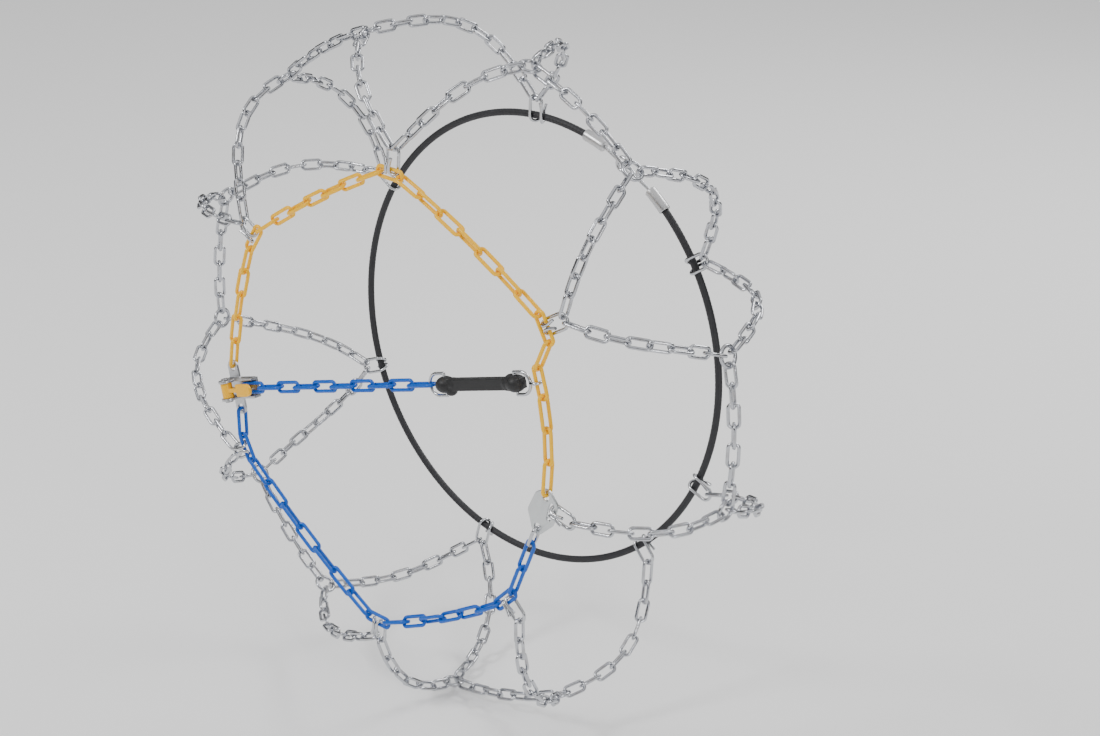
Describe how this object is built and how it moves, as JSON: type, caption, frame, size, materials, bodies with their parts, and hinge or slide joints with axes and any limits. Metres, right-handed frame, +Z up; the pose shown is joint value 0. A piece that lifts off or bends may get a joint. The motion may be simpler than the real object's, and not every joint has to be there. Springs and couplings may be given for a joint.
{
  "type": "tire snow chains",
  "caption": "Net of steel cross chains and rings that wraps a car tyre, held by a side chain with an elastic tensioner outboard and a cable hoop inboard.",
  "frame": {"origin": "wheel centre, at the middle of the tyre that the net fits", "axes": "+Y along the axle towards the car, so the outboard face looks towards -Y; +Z up; +X to the right seen from outboard"},
  "size_m": [0.6563, 0.2288, 0.6486],
  "materials": {
    "chain_zinc": "zinc plated, bright, slightly uneven",
    "ring_steel": "zinc plated, smooth welded ring",
    "hook_steel": "zinc plated bent wire",
    "yellow_paint": "thick glossy yellow paint",
    "blue_paint": "thick glossy blue paint",
    "plate_steel": "pressed sheet, zinc plated",
    "black_rubber": "moulded rubber, satin",
    "lock_steel": "folded sheet, zinc plated",
    "lever_paint": "painted lever",
    "pin_steel": "plain steel rivet",
    "cable_sleeve": "black plastic sleeve over steel rope",
    "ferrule_steel": "pressed aluminium sleeve"
  },
  "bodies": {
    "net": {"outer_arm_1": "chain_zinc", "outer_arm_2": "chain_zinc", "outer_arm_3": "chain_zinc", "outer_arm_4": "chain_zinc", "outer_arm_5": "chain_zinc", "outer_arm_6": "chain_zinc", "outer_arm_7": "chain_zinc", "outer_arm_8": "chain_zinc", "outer_arm_9": "chain_zinc", "outer_arm_10": "chain_zinc", "outer_arm_11": "chain_zinc", "outer_arm_12": "chain_zinc", "inner_arm_1": "chain_zinc", "inner_arm_2": "chain_zinc", "inner_arm_3": "chain_zinc", "inner_arm_4": "chain_zinc", "inner_arm_5": "chain_zinc", "inner_arm_6": "chain_zinc", "inner_arm_7": "chain_zinc", "inner_arm_8": "chain_zinc", "inner_arm_9": "chain_zinc", "inner_arm_10": "chain_zinc", "inner_arm_11": "chain_zinc", "inner_arm_12": "chain_zinc", "tread_run_1": "chain_zinc", "tread_run_2": "chain_zinc", "tread_run_3": "chain_zinc", "tread_run_4": "chain_zinc", "tread_run_5": "chain_zinc", "tread_run_6": "chain_zinc", "tread_rings": "ring_steel", "outer_hooks": "hook_steel", "inner_hooks": "hook_steel", "upper_side_chain": "yellow_paint", "lower_side_chain": "blue_paint", "closing_plate": "plate_steel", "plate_link": "chain_zinc", "lock_housing": "lock_steel", "lock_pin": "pin_steel", "inner_cable": "cable_sleeve", "cable_ferrules": "ferrule_steel", "cable_hook": "hook_steel", "cable_eye": "hook_steel"},
    "tension_link_1": {"tension_link_1": "blue_paint"},
    "tension_link_2": {"tension_link_2": "blue_paint"},
    "tension_link_3": {"tension_link_3": "blue_paint"},
    "tension_link_4": {"tension_link_4": "blue_paint"},
    "tension_link_5": {"tension_link_5": "blue_paint"},
    "tension_link_6": {"tension_link_6": "blue_paint"},
    "tension_link_7": {"tension_link_7": "blue_paint"},
    "tension_link_8": {"tension_link_8": "blue_paint"},
    "tension_link_9": {"tension_link_9": "blue_paint"},
    "tension_link_10": {"tension_link_10": "blue_paint"},
    "tensioner_bail": {"tensioner_bail": "hook_steel"},
    "rubber_tensioner": {"rubber_tensioner": "black_rubber"},
    "tension_hook": {"tension_hook": "hook_steel"},
    "lock_lever": {"lock_lever": "lever_paint"}
  },
  "joints": [
    {"name": "link_1_swing", "type": "hinge", "parent": "net", "child": "tension_link_1", "pos_m": [-0.19143, -0.10209, -0.0426], "axis": [0.2588, 0, -0.9659], "range_deg": [0, 12]},
    {"name": "link_2_swing", "type": "hinge", "parent": "tension_link_1", "child": "tension_link_2", "pos_m": [-0.16255, -0.10209, -0.03486], "axis": [0.2588, 0, -0.9659], "range_deg": [0, 12]},
    {"name": "link_3_swing", "type": "hinge", "parent": "tension_link_2", "child": "tension_link_3", "pos_m": [-0.1412, -0.10209, -0.02914], "axis": [0.2588, 0, -0.9659], "range_deg": [0, 12]},
    {"name": "link_4_swing", "type": "hinge", "parent": "tension_link_3", "child": "tension_link_4", "pos_m": [-0.11232, -0.10209, -0.0214], "axis": [0.2588, 0, -0.9659], "range_deg": [0, 12]},
    {"name": "link_5_swing", "type": "hinge", "parent": "tension_link_4", "child": "tension_link_5", "pos_m": [-0.09097, -0.10209, -0.01568], "axis": [0.2588, 0, -0.9659], "range_deg": [0, 12]},
    {"name": "link_6_swing", "type": "hinge", "parent": "tension_link_5", "child": "tension_link_6", "pos_m": [-0.06209, -0.10209, -0.00795], "axis": [0.2588, 0, -0.9659], "range_deg": [0, 12]},
    {"name": "link_7_swing", "type": "hinge", "parent": "tension_link_6", "child": "tension_link_7", "pos_m": [-0.04075, -0.10209, -0.00222], "axis": [0.2588, 0, -0.9659], "range_deg": [0, 12]},
    {"name": "link_8_swing", "type": "hinge", "parent": "tension_link_7", "child": "tension_link_8", "pos_m": [-0.01187, -0.10209, 0.00551], "axis": [0.2588, 0, -0.9659], "range_deg": [0, 12]},
    {"name": "link_9_swing", "type": "hinge", "parent": "tension_link_8", "child": "tension_link_9", "pos_m": [0.00948, -0.10209, 0.01123], "axis": [0.2588, 0, -0.9659], "range_deg": [0, 12]},
    {"name": "link_10_swing", "type": "hinge", "parent": "tension_link_9", "child": "tension_link_10", "pos_m": [0.03836, -0.10209, 0.01897], "axis": [0.2588, 0, -0.9659], "range_deg": [0, 12]},
    {"name": "bail_swing", "type": "hinge", "parent": "tension_link_10", "child": "tensioner_bail", "pos_m": [0.05995, -0.10209, 0.02476], "axis": [0.2588, 0, -0.9659], "range_deg": [0, 30]},
    {"name": "rubber_swing", "type": "hinge", "parent": "tensioner_bail", "child": "rubber_tensioner", "pos_m": [0.0783, -0.10209, 0.02967], "axis": [0.2588, 0, -0.9659], "range_deg": [0, 30]},
    {"name": "hook_swing", "type": "hinge", "parent": "rubber_tensioner", "child": "tension_hook", "pos_m": [0.16041, -0.10209, 0.05167], "axis": [0.2588, 0, -0.9659], "range_deg": [0, 30]},
    {"name": "lever_lift", "type": "hinge", "parent": "net", "child": "lock_lever", "pos_m": [-0.20495, -0.11109, -0.04622], "axis": [0.2588, 0, -0.9659], "range_deg": [0, 40], "stiffness_Nm_per_rad": 0.05}
  ]
}
